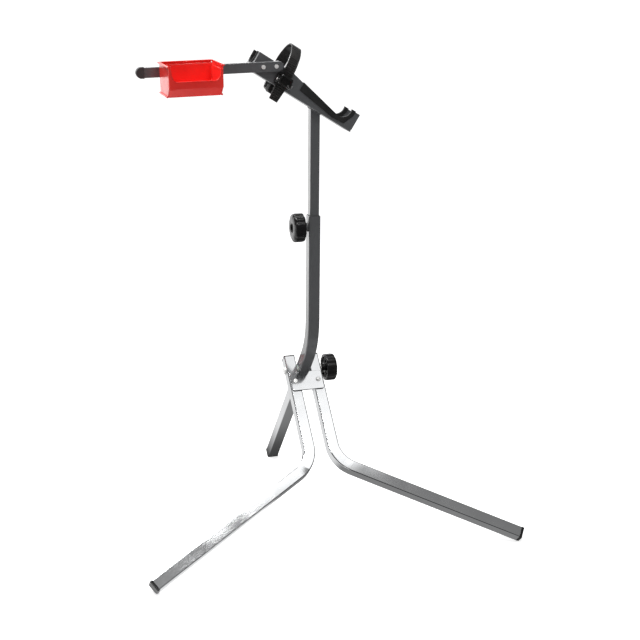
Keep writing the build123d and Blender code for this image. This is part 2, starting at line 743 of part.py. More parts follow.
with BuildPart() as tray:
    with BuildSketch(tray_plane.offset(-tray_width / 2)):
        tray_side(0.0)
    extrude(amount=tray_width)
    with BuildSketch(tray_plane.offset(-tray_width / 2 + tray_wall)):
        tray_side(tray_wall)
    extrude(amount=tray_width - 2 * tray_wall, mode=Mode.SUBTRACT)
    front_window = Plane(tray_plane.origin, x_dir=arm_plane.x_dir, z_dir=(0, -1, 0))
    with BuildSketch(front_window.offset(tray_front_low + 6.0)):
        with BuildLine():
            Polyline((-window_top, 4.0), (-window_top, window_bend))
            Spline((-window_top, window_bend), (-window_low, lip_height), tangents=((0, -1), (1, -0.4)))
            Line((-window_low, lip_height), (window_low, lip_height))
            Spline((window_low, lip_height), (window_top, window_bend), tangents=((1, 0.4), (0, 1)))
            Polyline((window_top, window_bend), (window_top, 4.0), (-window_top, 4.0))
        make_face()
    extrude(amount=tray_depth, mode=Mode.SUBTRACT)
    # rolled rim round the sides, and the lip that hangs on the arm
    for side in (-1, 1):
        with BuildSketch(tray_plane.offset(side * tray_width / 2)):
            with Locations((tray_depth / 2, -rim_height / 2)):
                Rectangle(tray_depth, rim_height)
        extrude(amount=side * rim_proud)
    with BuildSketch(tray_plane.offset(-tray_width / 2)):
        Polygon(
            (tray_wall, hook_seat + hook_plate),
            (tray_wall, hook_seat),
            (hook_back, hook_seat),
            (hook_back, hook_seat - hook_drop),
            (hook_back - hook_plate, hook_seat - hook_drop),
            (hook_back - hook_plate, hook_seat + hook_plate),
            align=None,
        )
    extrude(amount=tray_width)
    # foot flanges under the side walls
    for side in (-1, 1):
        with BuildSketch(tray_plane.offset(side * tray_width / 2)):
            with Locations((tray_front_low / 2, foot_height / 2 - tray_drop)):
                Rectangle(tray_front_low, foot_height)
        extrude(amount=side * foot_proud)
finish(tray, "tray")
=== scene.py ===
# Looks of the folding bike repair stand: materials, detailed pieces, studio light and camera.
# Metres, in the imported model's frame: +Z up, tray arm to -X, hooks to +X, front legs to -Y.
import json
from math import acos, cos, hypot, pi, radians, sin, sqrt, tan

import bmesh
import bpy
from mathutils import Matrix, Vector


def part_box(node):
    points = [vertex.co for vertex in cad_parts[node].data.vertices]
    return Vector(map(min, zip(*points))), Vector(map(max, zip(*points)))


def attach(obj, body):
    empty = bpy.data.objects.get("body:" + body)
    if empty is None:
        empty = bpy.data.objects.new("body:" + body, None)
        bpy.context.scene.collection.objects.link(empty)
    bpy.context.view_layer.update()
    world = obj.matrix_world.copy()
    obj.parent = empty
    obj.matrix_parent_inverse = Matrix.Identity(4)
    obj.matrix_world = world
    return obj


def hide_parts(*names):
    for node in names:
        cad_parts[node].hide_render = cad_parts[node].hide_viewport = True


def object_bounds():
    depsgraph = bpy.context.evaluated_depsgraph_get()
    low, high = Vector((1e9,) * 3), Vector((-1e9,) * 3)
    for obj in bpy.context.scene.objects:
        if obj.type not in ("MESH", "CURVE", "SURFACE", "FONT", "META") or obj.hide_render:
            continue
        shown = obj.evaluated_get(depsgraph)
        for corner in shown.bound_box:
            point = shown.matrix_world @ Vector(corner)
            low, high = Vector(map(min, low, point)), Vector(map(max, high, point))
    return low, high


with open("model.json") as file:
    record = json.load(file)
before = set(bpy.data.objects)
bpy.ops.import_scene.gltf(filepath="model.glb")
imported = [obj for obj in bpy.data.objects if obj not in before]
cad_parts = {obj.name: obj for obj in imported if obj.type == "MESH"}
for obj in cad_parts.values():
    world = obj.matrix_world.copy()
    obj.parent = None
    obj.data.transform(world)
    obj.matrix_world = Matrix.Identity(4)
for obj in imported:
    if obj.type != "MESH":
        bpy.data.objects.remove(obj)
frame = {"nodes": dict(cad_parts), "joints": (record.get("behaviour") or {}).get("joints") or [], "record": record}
cad_low, cad_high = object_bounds()
joints = {joint["name"]: joint for joint in frame["joints"]}
mounts = {mount["name"]: mount for mount in frame["record"]["mounts"]}
mm = 0.001

# ---- places, from the frame -----------------------------------------------------------------------
head_along = Vector(joints["buckle_lever_lift"]["axis"]).normalized()     # down the head, to the hooks
head_up = Vector((-head_along.z, 0, head_along.x))
outward = Vector((0, -1, 0))                                              # out of the near side plate
shell_along = 42 * mm                                                     # bottom-bracket shell's centre
shell_above = 36 * mm
shell_centre = Vector(mounts["bottom_bracket_hooks"]["pos_m"])
head_origin = shell_centre - shell_along * head_along - shell_above * head_up
column_y = head_origin.y
lever_pin = Vector(joints["buckle_lever_lift"]["pos_m"])
upper_knob_axis = Vector(joints["upper_knob_turn"]["pos_m"])
lower_knob_axis = Vector(joints["lower_knob_turn"]["pos_m"])
tray_up = Vector(joints["tray_lift"]["axis"]).normalized()
tray_across = Vector((tray_up.z, 0, -tray_up.x))


def head_point(along, above, out):
    """Point from millimetres along the head, above its base and out of its middle."""
    return head_origin + mm * (along * head_along + above * head_up + out * outward)


# ---- material tools -------------------------------------------------------------------------------
class Look:
    """A Principled material whose detail comes from object-space noise, linked over its plain values."""

    def __init__(self, name, colour, roughness, **sockets):
        self.material = bpy.data.materials.new(name)
        self.material.use_nodes = True
        self.tree = self.material.node_tree
        self.shader = self.tree.nodes["Principled BSDF"]
        self.shader.inputs["Base Color"].default_value = (*colour, 1)
        self.shader.inputs["Roughness"].default_value = roughness
        for socket, value in sockets.items():
            self.shader.inputs[socket.replace("_", " ")].default_value = value
        self.place = self.tree.nodes.new("ShaderNodeTexCoord").outputs["Object"]
        self.normal = None

    def noise(self, scale, detail=3.0, rough=0.55, stretch=(1, 1, 1)):
        """Grey noise, scale in features per metre, stretched along an axis where stretch is small."""
        mapping = self.tree.nodes.new("ShaderNodeMapping")
        mapping.inputs["Scale"].default_value = stretch
        self.tree.links.new(self.place, mapping.inputs["Vector"])
        texture = self.tree.nodes.new("ShaderNodeTexNoise")
        texture.inputs["Scale"].default_value = scale
        texture.inputs["Detail"].default_value = detail
        texture.inputs["Roughness"].default_value = rough
        self.tree.links.new(mapping.outputs["Vector"], texture.inputs["Vector"])
        return texture.outputs["Fac"]

    def voronoi(self, scale):
        """Distance to the nearest cell centre."""
        texture = self.tree.nodes.new("ShaderNodeTexVoronoi")
        texture.inputs["Scale"].default_value = scale
        self.tree.links.new(self.place, texture.inputs["Vector"])
        return texture.outputs["Distance"]

    def spread(self, value, low, high, start=0.35, end=0.65):
        """Remap a grey value from start..end to low..high."""
        node = self.tree.nodes.new("ShaderNodeMapRange")
        for socket, number in (("From Min", start), ("From Max", end), ("To Min", low), ("To Max", high)):
            node.inputs[socket].default_value = number
        self.tree.links.new(value, node.inputs["Value"])
        return node.outputs["Result"]

    def tint(self, value, first, second, start=0.35, end=0.65):
        """Base colour between two colours by a grey value."""
        node = self.tree.nodes.new("ShaderNodeValToRGB")
        node.color_ramp.elements[0].position = start
        node.color_ramp.elements[0].color = (*first, 1)
        node.color_ramp.elements[1].position = end
        node.color_ramp.elements[1].color = (*second, 1)
        self.tree.links.new(value, node.inputs["Fac"])
        self.tree.links.new(node.outputs["Color"], self.shader.inputs["Base Color"])
        return self

    def polish(self, value, low, high):
        """Roughness between low and high by a grey value."""
        self.tree.links.new(self.spread(value, low, high), self.shader.inputs["Roughness"])
        return self

    def bump(self, value, strength, depth):
        """Surface relief by a grey value, on top of the relief so far."""
        node = self.tree.nodes.new("ShaderNodeBump")
        node.inputs["Strength"].default_value = strength
        node.inputs["Distance"].default_value = depth
        self.tree.links.new(value, node.inputs["Height"])
        if self.normal is not None:
            self.tree.links.new(self.normal, node.inputs["Normal"])
        self.normal = node.outputs["Normal"]
        self.tree.links.new(self.normal, self.shader.inputs["Normal"])
        return self


def make_looks():
    """Every material of the stand, by the record's slot name."""
    chrome = Look("chrome", (0.74, 0.75, 0.76), 0.10, Metallic=1.0)
    chrome.tint(chrome.noise(9), (0.72, 0.73, 0.74), (0.80, 0.81, 0.82))
    chrome.polish(chrome.noise(60, stretch=(0.3, 0.3, 0.3)), 0.08, 0.13)
    chrome.bump(chrome.noise(90, detail=1), 0.02, 0.0001)

    paint = Look(
        "satin_grey_paint", (0.112, 0.114, 0.119), 0.38, Coat_Weight=1.0, Coat_Roughness=0.12, Coat_IOR=1.7
    )
    paint.tint(paint.noise(1400, detail=1), (0.096, 0.099, 0.104), (0.116, 0.119, 0.124))
    paint.polish(paint.noise(40), 0.34, 0.42)
    paint.bump(paint.noise(520, detail=1), 0.05, 0.0002)

    plastic = Look("black_moulded_plastic", (0.011, 0.011, 0.012), 0.30, Specular_IOR_Level=0.35)
    plastic.tint(plastic.noise(25), (0.009, 0.009, 0.010), (0.015, 0.0145, 0.014))
    plastic.polish(plastic.noise(90), 0.19, 0.27)
    plastic.bump(plastic.noise(2600, detail=1), 0.06, 0.0001)

    rubber = Look("black_rubber", (0.012, 0.012, 0.012), 0.55, Specular_IOR_Level=0.3)
    rubber.tint(rubber.noise(30), (0.018, 0.018, 0.018), (0.028, 0.028, 0.0275))
    rubber.polish(rubber.noise(70), 0.48, 0.62)
    rubber.bump(rubber.noise(1500, detail=2), 0.25, 0.00015)

    zinc = Look("zinc_plated_steel", (0.66, 0.66, 0.64), 0.32, Metallic=0.25)
    zinc.tint(zinc.voronoi(700), (0.94, 0.94, 0.93), (0.86, 0.865, 0.85), 0.1, 0.7)
    zinc.polish(zinc.noise(300), 0.22, 0.36)
    zinc.bump(zinc.noise(900), 0.08, 0.0001)

    red = Look("red_polypropylene", (0.80, 0.035, 0.028), 0.26, Specular_IOR_Level=0.25)
    red.tint(red.noise(14), (0.76, 0.030, 0.024), (0.84, 0.040, 0.032))
    red.polish(red.noise(60), 0.18, 0.26)
    red.bump(red.noise(60, detail=1), 0.02, 0.0001)

    nylon = Look("natural_nylon", (0.72, 0.71, 0.66), 0.45, Subsurface_Weight=0.1, Subsurface_Scale=0.002)
    nylon.tint(nylon.noise(80), (0.66, 0.65, 0.60), (0.76, 0.75, 0.70))
    nylon.bump(nylon.noise(1500), 0.1, 0.0001)

    strap = Look("black_strap_plastic", (0.012, 0.012, 0.012), 0.30)
    strap.tint(strap.noise(35), (0.022, 0.022, 0.022), (0.034, 0.033, 0.032))
    strap.polish(strap.noise(120), 0.24, 0.36)
    strap.bump(strap.noise(1100, detail=2), 0.10, 0.0001)

    gloss = Look("polished_black_plastic", (0.012, 0.012, 0.012), 0.14)
    gloss.tint(gloss.noise(40), (0.010, 0.010, 0.010), (0.016, 0.0155, 0.015))
    gloss.polish(gloss.noise(150), 0.11, 0.18)
    gloss.bump(gloss.noise(200, detail=1), 0.02, 0.0001)

    cap = Look("dark_grey_plastic", (0.05, 0.051, 0.053), 0.4)
    cap.tint(cap.noise(60), (0.045, 0.046, 0.048), (0.058, 0.059, 0.061))
    cap.polish(cap.noise(90), 0.34, 0.46)
    cap.bump(cap.noise(1800, detail=1), 0.10, 0.0001)
    return {
        "lever": gloss.material,
        "cap": cap.material,
        "chrome_tube": chrome.material,
        "grey_paint": paint.material,
        "black_plastic": plastic.material,
        "black_rubber": rubber.material,
        "zinc_steel": zinc.material,
        "red_plastic": red.material,
        "white_nylon": nylon.material,
        "strap": strap.material,
    }


# ---- mesh tools -----------------------------------------------------------------------------------
def finish_mesh(mesh, sharp=35):
    """Merge, orient and smooth a mesh, with edges sharper than an angle left crisp."""
    work = bmesh.new()
    work.from_mesh(mesh)
    bmesh.ops.remove_doubles(work, verts=work.verts, dist=1e-6)
    bmesh.ops.recalc_face_normals(work, faces=work.faces)
    work.to_mesh(mesh)
    work.free()
    for face in mesh.polygons:
        face.use_smooth = True
    mesh.set_sharp_from_angle(angle=radians(sharp))
    return mesh


def new_object(name, points, faces, sharp=35):
    """Object with a finished mesh, linked to the scene."""
    mesh = bpy.data.meshes.new(name)
    mesh.from_pydata([tuple(point) for point in points], [], faces)
    finish_mesh(mesh, sharp)
    piece = bpy.data.objects.new(name, mesh)
    bpy.context.scene.collection.objects.link(piece)
    return piece


def skin(rings, closed=False):
    """Points and faces of a tube through equal rings of points, capped unless it closes on itself."""
    size = len(rings[0])
    points = [point for ring in rings for point in ring]
    faces = []
    for row in range(len(rings) if closed else len(rings) - 1):
        first = row * size
        second = (row + 1) % len(rings) * size
        for column in range(size):
            beside = (column + 1) % size
            faces.append((first + column, first + beside, second + beside, second + column))
    if not closed:
        faces.append(tuple(range(size))[::-1])
        last = (len(rings) - 1) * size
        faces.append(tuple(last + column for column in range(size)))
    return points, faces


def rounded_rectangle(width, height, radius, steps=4):
    """Outline of a rounded rectangle about the origin, as (x, y) pairs."""
    outline = []
    for quarter in range(4):
        right = 1 if quarter in (0, 3) else -1
        top = 1 if quarter in (0, 1) else -1
        for step in range(steps + 1):
            angle = (quarter + step / steps) * pi / 2
            outline.append((
                right * (width / 2 - radius) + radius * cos(angle),
                top * (height / 2 - radius) + radius * sin(angle),
            ))
    return outline


def rounded_route(corners, radii, gap):
    """2-D route through corners with tangent arcs: points about gap apart, as (place, direction) pairs."""
    corners = [Vector(corner) for corner in corners]
    pieces = []
    start = corners[0]
    for before, corner, after, radius in zip(corners, corners[1:], corners[2:], radii):
        arriving = (corner - before).normalized()
        leaving = (after - corner).normalized()
        turn = acos(max(-1.0, min(1.0, arriving.dot(leaving))))
        cut = radius * tan(turn / 2)
        pieces.append(("line", start, corner - cut * arriving))
        side = 1 if arriving.x * leaving.y - arriving.y * leaving.x > 0 else -1
        centre = corner - cut * arriving + side * radius * Vector((-arriving.y, arriving.x))
        pieces.append(("arc", centre, radius, arriving, side, turn))
        start = corner + cut * leaving
    pieces.append(("line", start, corners[-1]))
    route = []
    for piece in pieces:
        if piece[0] == "line":
            length = (piece[2] - piece[1]).length
            count = max(1, round(length / gap))
            heading = (piece[2] - piece[1]).normalized()
            route += [(piece[1].lerp(piece[2], step / count), heading) for step in range(count)]
        else:
            _, centre, radius, arriving, side, turn = piece
            count = max(2, round(radius * turn / gap))
            for step in range(count):
                swing = Matrix.Rotation(side * turn * step / count, 2)
                heading = swing @ arriving
                route.append((centre - side * radius * Vector((-heading.y, heading.x)), heading))
    route.append((corners[-1], (corners[-1] - corners[-2]).normalized()))
    return route


def boolean(target, cutter, operation):
    """Apply a boolean with another object, which is then removed."""
    modifier = target.modifiers.new("boolean", "BOOLEAN")
    modifier.object = cutter
    modifier.operation = operation
    modifier.solver = "EXACT"
    bake_modifiers(target)
    bpy.data.objects.remove(cutter)


def bake_modifiers(piece):
    """Replace an object's mesh with its evaluated one."""
    bpy.context.view_layer.update()
    evaluated = piece.evaluated_get(bpy.context.evaluated_depsgraph_get())
    mesh = bpy.data.meshes.new_from_object(evaluated)
    piece.modifiers.clear()
    piece.data = mesh


def bevel(piece, width, segments=2, angle=35):
    """Round an object's edges that are sharper than an angle."""
    modifier = piece.modifiers.new("bevel", "BEVEL")
    modifier.width = width
    modifier.segments = segments
    modifier.limit_method = "ANGLE"
    modifier.angle_limit = radians(angle)
    modifier.harden_normals = False
    bake_modifiers(piece)
    finish_mesh(piece.data)


def prism(name, outline, origin, x_axis, y_axis, z_axis, start, end, sharp=35):
    """Prism of a 2-D outline in millimetres, placed by three axes."""
    rings = [
        [origin + mm * (x * x_axis + y * y_axis + depth * z_axis) for x, y in outline]
        for depth in (start, end)
    ]
    return new_object(name, *skin(rings), sharp)


def flatten(piece):
    """Let large faces keep their own normals, so that only the small rounded faces shade round."""
    modifier = piece.modifiers.new("flat_faces", "WEIGHTED_NORMAL")
    modifier.mode = "FACE_AREA"
    modifier.weight = 80
    modifier.keep_sharp = True


def settle(piece, body, look, nodes=()):
    """Give a finished piece its material, its body and the nodes that it stands for."""
    piece.data.materials.clear()
    piece.data.materials.append(look)
    flatten(piece)
    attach(piece, body)
    if nodes:
        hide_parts(*nodes)
    return piece


# ---- knobs ----------------------------------------------------------------------------------------
knob_radius = 30.5
knob_lobes = 10
knob_facets = 240
scallop_at = knob_radius + 4.5       # distance of the scallops' centres from the knob's axis
scallop_radius = 6.2
fluting_start = 20.5                 # radius where the fluting begins
fluting_ramp = 6.0                   # width over which it grows to its full depth
rib_size = (14.0, 1.6)               # length and thickness of a rib behind the face
rib_depth = 9.0
rib_centre = 16.9                    # distance of a rib's middle from the axis
join_angle = 40                      # edges of the knob steeper than this stay crisp, in degrees


def lobed_radius(angle):
    """Radius of the knob's fluted outline at an angle: a circle with round scallops."""
    pitch = 2 * pi / knob_lobes
    offset = (angle + pitch / 2) % pitch - pitch / 2
    reach = scallop_radius ** 2 - (scallop_at * sin(offset)) ** 2
    if reach <= 0:
        return knob_radius
    return min(knob_radius, scallop_at * cos(offset) - sqrt(reach))


def knob_outline():
    """The fluted outline with its ridges eased, one radius per facet."""
    raw = [lobed_radius(2 * pi * step / knob_facets) for step in range(knob_facets)]
    reach = 3
    return [
        sum(raw[(step + shift) % knob_facets] for shift in range(-reach, reach + 1)) / (2 * reach + 1)
        for step in range(knob_facets)
    ]


def make_knob(name, node, body, start, direction, neck):
    """Star knob: neck, hollow back with ribs, fluted rim, domed face with a rimmed recess."""
    profile = (                      # radius, distance from the body's back
        (0.1, -neck), (7.0, -neck), (7.6, -neck + 0.6), (7.6, 0.0), (10.5, 0.0), (10.5, 0.6),
        (10.6, 8.4), (11.4, 9.0), (21.8, 9.0), (22.8, 8.0), (23.2, 0.8), (23.9, 0.1), (27.2, 0.0),
        (28.9, 0.5), (30.0, 1.5), (30.5, 3.0), (30.5, 7.0), (30.5, 12.0), (30.5, 18.0), (30.2, 19.8),
        (29.3, 21.5), (27.6, 22.9), (24.8, 24.0), (21.0, 24.8), (17.0, 25.1), (13.2, 25.1), (11.2, 24.7),
        (10.4, 25.2), (9.4, 25.5), (8.8, 25.2), (8.5, 24.4), (8.3, 22.6), (7.8, 22.2), (0.1, 22.0),
    )
    outline = knob_outline()
    side = Vector((0, 1, 0))
    over = direction.cross(side)
    rings = []
    for radius, place in profile:
        share = max(0.0, min(1.0, (radius - fluting_start) / fluting_ramp))
        ring = []
        for step in range(knob_facets):
            angle = 2 * pi * step / knob_facets
            reach = radius - share * (knob_radius - outline[step])
            spoke = cos(angle) * side + sin(angle) * over
            ring.append(start + mm * ((neck + place) * direction + reach * spoke))
        rings.append(ring)
    knob = new_object(name, *skin(rings), sharp=join_angle)
    rib_outline = rounded_rectangle(*rib_size, 0.5, 2)
    for rib in range(knob_lobes):
        angle = 2 * pi * (rib + 0.5) / knob_lobes
        spoke = cos(angle) * side + sin(angle) * over
        middle = start + mm * ((neck + 1.0) * direction + rib_centre * spoke)
        blade = prism("rib", rib_outline, middle, spoke, direction.cross(spoke), direction, 0.0, rib_depth)
        join(knob, blade)
    settle(knob, body, looks["black_plastic"], (node,))


def join(target, *others):
    """Merge other objects' meshes into one object, keeping their faces."""
    work = bmesh.new()
    work.from_mesh(target.data)
    for other in others:
        work.from_mesh(other.data)
        bpy.data.objects.remove(other)
    work.to_mesh(target.data)
    work.free()
    for face in target.data.polygons:
        face.use_smooth = True
    target.data.set_sharp_from_angle(angle=radians(join_angle))


# ---- strap and buckle -----------------------------------------------------------------------------
strap_along = -95.8
strap_width = 23.0
strap_thickness = 3.0
strap_corners = (
    (-31.6, -27.0), (-31.6, 24.0), (-27.0, 50.0), (-12.0, 74.0), (14.0, 93.0), (40.0, 86.0),
    (55.0, 62.0), (57.0, 35.0), (51.0, 8.0), (36.0, -14.0), (12.0, -10.0),
)
strap_bends = (60.0, 50.0, 40.0, 34.0, 32.0, 32.0, 55.0, 50.0, 18.0)
tooth_pitch = 4.6
tooth_steps = 10                     # points of the route in one pitch
tooth_height = 1.7
tooth_margin = 2.4                   # plain edge beside the teeth
tooth_rise = 0.72                    # share of the pitch over which a tooth's flank rises
toothed_length = 96.0
tail_taper = 26.0
tail_share = 0.82                    # width of the tail's end against the full width


def strap_section(drop):
    """Outline of the strap, with its teeth cut down by drop, as (across, height) pairs."""
    half = strap_width / 2
    toothed = half - tooth_margin
    top, low = strap_thickness / 2, -strap_thickness / 2
    return (
        (-half + 0.9, low), (-half, low + 0.8), (-half, top - 1.0), (-half + 0.8, top),
        (-toothed - 0.3, top), (-toothed + 0.3, top - drop), (-toothed / 3, top - drop),
        (toothed / 3, top - drop), (toothed - 0.3, top - drop), (toothed + 0.3, top),
        (half - 0.8, top), (half, top - 1.0), (half, low + 0.8), (half - 0.9, low),
    )


def make_strap():
    """Ratchet strap: one moulded ribbon, toothed along its near run and tail, smooth over the top."""
    fade_in, fade_out = 2.0, 4.0
    route = rounded_route(strap_corners, strap_bends, tooth_pitch / tooth_steps)
    rings = []
    travelled = 0.0
    previous = route[0][0]
    for place, heading in route:
        travelled += (place - previous).length
        previous = place
        phase = travelled / tooth_pitch % 1.0
        fade = max(0.0, min(1.0, (toothed_length - travelled) / fade_out)) * min(1.0, travelled / fade_in)
        drop = tooth_height * fade * (1 - min(phase / tooth_rise, (1 - phase) / (1 - tooth_rise)))
        taper = tail_share + (1 - tail_share) * min(1.0, travelled / tail_taper)
        out = Vector((-heading.y, heading.x))          # left of the way round: out of the loop
        ring = []
        for across, height in strap_section(drop):
            spot = place + height * out
            ring.append(head_point(strap_along + across * taper, spot.y, -spot.x))
        rings.append(ring)
    strap = new_object("ratchet_strap", *skin(rings), sharp=28)
    settle(strap, "mast_head", looks["strap"], ("strap",))


def make_buckle():
    """Ratchet buckle: a base with two cheeks, and a curved glossy lever between them."""
    face = 25.0                      # the strap side of the base, out of the head's middle
    base_above, base_thickness = 16.5, 3.4
    base = prism(
        "buckle_frame", rounded_rectangle(34.0, 24.0, 5.0), head_point(strap_along, base_above, face),
        head_along, head_up, outward, 0.0, base_thickness,
    )
    cheek_outline = [                # distance out of the face, height
        (0.0, -7.5), (4.0, -7.5), (9.0, -7.0), (15.5, -5.0), (18.0, -2.0), (18.0, 1.0), (14.0, 4.0),
        (8.0, 8.0), (3.0, 10.0), (0.0, 10.0),
    ]
    cheek_offset, cheek_above, cheek_half = 15.4, 14.0, 1.5
    for side in (-1, 1):
        cheek = prism(
            "cheek", cheek_outline, head_point(strap_along + side * cheek_offset, cheek_above, face),
            outward, head_up, head_along, -cheek_half, cheek_half,
        )
        boolean(base, cheek, "UNION")
    bevel(base, 0.7 * mm)
    settle(base, "mast_head", looks["strap"], ("buckle_base",))

    sections = (                     # half width, bottom, top, distance out from the pin's axis
        (10.0, -3.0, 6.0, -6.4), (12.6, -4.6, 8.5, -5.2), (13.4, -5.6, 10.5, -3.0),
        (13.4, -6.6, 12.6, 1.0), (13.4, -7.0, 13.6, 4.4), (13.0, -6.7, 13.2, 5.9),
        (12.2, -6.0, 12.4, 6.9), (11.3, -5.2, 11.5, 7.1), (10.4, -4.3, 10.6, 6.6),
        (9.6, -3.5, 9.8, 5.2), (8.8, -2.7, 9.0, 4.2), (7.6, -1.5, 7.8, 3.8), (1.0, 2.5, 3.5, 4.4),
    )
    largest_corner, corner_share = 3.5, 0.42
    rings = []
    for half, bottom, top, out in sections:
        height, middle = top - bottom, (top + bottom) / 2
        outline = rounded_rectangle(2 * half, height, min(largest_corner, corner_share * height), 5)
        rings.append([
            lever_pin + mm * (x * head_along + (y + middle) * head_up + out * outward) for x, y in outline
        ])
    lever = new_object("buckle_lever_cover", *skin(rings), sharp=38)
    settle(lever, "buckle_lever", looks["lever"], ("buckle_lever",))


def make_anchor():
    """Rounded moulded block under the web that holds the strap's fixed end."""
    middle_above, half_out = -8.6, 12.4
    anchor = prism(
        "strap_anchor_block", rounded_rectangle(27.0, 17.0, 5.0, 5),
        head_point(strap_along, middle_above, 0.0), head_along, head_up, outward, -half_out, half_out,
    )
    bevel(anchor, 3.2 * mm, 4, 40)
    settle(anchor, "mast_head", looks["black_rubber"], ("strap_anchor",))


# ---- tray -----------------------------------------------------------------------------------------
# Bin places are millimetres out from its back face, up from its rim and across from its middle.
bin_half, rim_half = 52.0, 54.5      # half widths of the walls and of the rim flange
bin_drop = 60.0
bin_wall, rim_wall = 2.4, 0.9
rim_depth = 101.0                    # out to the front, at the rim
spare_top = 8.0                      # drawn above the rim and cut off flat at the end
flange_low, flange_top = -3.2, -0.2
flange_proud = 0.4                   # past the bin's back and front faces
rim_rounding = 0.8
window_half, sill_half = 47.5, 36.5  # half widths of the front opening at its top and at its sill
window_bend, sill = -6.0, -29.0      # heights where the opening starts to narrow, and of its sill
arm_clearance = 0.4

bin_low, bin_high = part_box("tray")
arm_low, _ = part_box("tray_arm")
bin_origin = Vector((
    (bin_low.x + bin_high.x) / 2 + tray_up.x * bin_drop / 2 * mm,
    arm_low.y - arm_clearance * mm,
    bin_high.z - rim_half * mm * tray_across.z,
))


def bin_outline(inset, top):
    """Side view of the bin, inset from its walls: a sloping belly under the front."""
    return [
        (inset, top), (inset, inset - bin_drop), (79.0 - inset, inset - bin_drop),
        (95.0 - inset, -46.0 + inset / 2), (99.5 - inset, -43.5), (rim_depth - inset, top),
    ]


def bin_prism(name, outline, start, end, rounding=0.0, steps=2, angle=35):
    """Prism across the bin from a side view, with its edges rounded."""
    piece = prism(name, outline, bin_origin, outward, tray_up, tray_across, start, end)
    if rounding:
        bevel(piece, rounding * mm, steps, angle)
    return piece


def bin_shell():
    """Walls and floor, with the stacking step inside the rim."""
    shell = bin_prism("tool_tray", bin_outline(0.0, spare_top), -bin_half, bin_half, 4.0, 4, 30)
    inner = bin_half - bin_wall
    cavity = bin_prism("cavity", bin_outline(bin_wall, spare_top + 2.0), -inner, inner, 2.4, 4, 30)
    step_outline = [(0.7, 9.0), (0.7, -5.5), (4.0, -9.5), (rim_depth - 1.0, -9.5), (rim_depth - 0.8, 9.0)]
    step = bin_prism("ledge", step_outline, rim_wall - bin_half, bin_half - rim_wall, 0.8, 2, 30)
    boolean(shell, cavity, "DIFFERENCE")
    boolean(shell, step, "DIFFERENCE")
    return shell


def window_outline():
    """Front opening as (across, up) pairs: upright sides that curve in to the sill."""
    steps = 9
    left = [(-window_half, 12.0), (-window_half, window_bend)]
    for step in range(1, steps):
        turn = step / steps * pi / 2
        left.append((
            -window_half + (window_half - sill_half) * (1 - cos(turn)),
            window_bend + (sill - window_bend) * sin(turn),
        ))
    left.append((-sill_half, sill))
    return left + [(-x, y) for x, y in left[::-1]]


def rolled_edge(outline):
    """Bead along the opening's edge, leaning back with the front wall."""
    bead_front, bead_offset, lean = rim_depth - 1.2, 1.6, 0.04
    rings = []
    last = len(outline) - 1
    for index, (x, y) in enumerate(outline):
        before = Vector(outline[max(0, index - 1)])
        after = Vector(outline[min(last, index + 1)])
        heading = (after - before).normalized()
        away = -heading.y * tray_across + heading.x * tray_up      # away from the opening
        place = bin_origin + mm * (x * tray_across + min(y, 0.0) * tray_up)
        rings.append([
            place + mm * ((wide + bead_offset) * away + (bead_front + deep - lean * max(0.0, -y)) * outward)
            for wide, deep in rounded_rectangle(5.4, 6.0, 2.6, 4)
        ])
    return new_object("rolled", *skin(rings))


def lower_panel():
    """Cutter for the set-in panel under the front, wider towards the floor."""
    beyond = 120.0
    rows = (                         # half width, height, distance out of the panel's face
        (38.0, -42.0, 98.6), (43.5, -46.5, 93.6), (46.5, -58.0, 79.6), (46.5, -61.0, 76.4),
    )
    rings = [
        [bin_origin + mm * (x * tray_across + up * tray_up + out * outward)
         for x, out in ((-half, face), (half, face), (half, beyond), (-half, beyond))]
        for half, up, face in rows
    ]
    return new_object("panel", *skin(rings))


def make_tray():
    """Open-fronted parts bin: stepped rim, rolled front opening, set-in lower panel and foot ribs."""
    body = bin_shell()
    outline = window_outline()
    boolean(body, rolled_edge(outline), "UNION")
    cutter = prism("window", outline, bin_origin, tray_across, tray_up, outward, 86.0, 116.0)
    boolean(body, cutter, "DIFFERENCE")

    flange_outline = [
        (-flange_proud, flange_low), (rim_depth - 1.0, flange_low), (rim_depth + flange_proud, flange_top),
        (-flange_proud, flange_top),
    ]
    foot_top = -56.4
    foot_outline = [(0.5, -bin_drop), (78.5, -bin_drop), (80.0, foot_top), (0.5, foot_top)]
    for side in (-1, 1):
        start, end = sorted((side * (bin_half - 1.0), side * rim_half))
        boolean(body, bin_prism("flange", flange_outline, start, end, rim_rounding), "UNION")
        start, end = sorted((side * (bin_half - 1.5), side * (bin_half + 2.0)))
        boolean(body, bin_prism("foot", foot_outline, start, end, 0.7), "UNION")
    rear_outline = [
        (-flange_proud, flange_low), (2.0, flange_low), (2.0, flange_top), (-flange_proud, flange_top),
    ]
    boolean(body, bin_prism("rear_rim", rear_outline, -rim_half, rim_half, rim_rounding), "UNION")

    hook_top, hook_under, hook_end = -7.4, -9.6, -23.6
    hook_back, hook_inner = -13.0, -10.8
    hanger_outline = [
        (1.0, hook_top), (1.0, hook_under), (hook_inner, hook_under), (hook_inner, hook_end),
        (hook_back, hook_end), (hook_back, hook_top),
    ]
    hanger_half = bin_half - 6.0
    boolean(body, bin_prism("hanger", hanger_outline, -hanger_half, hanger_half, 0.7), "UNION")
    flat_top = bin_prism("flat_top", [(-20, 0.0), (-20, 30), (120, 30), (120, 0.0)], -80, 80)
    boolean(body, flat_top, "DIFFERENCE")
    boolean(body, lower_panel(), "DIFFERENCE")
    bevel(body, 0.4 * mm, 2, 50)
    settle(body, "tray", looks["red_plastic"], ("tray",))


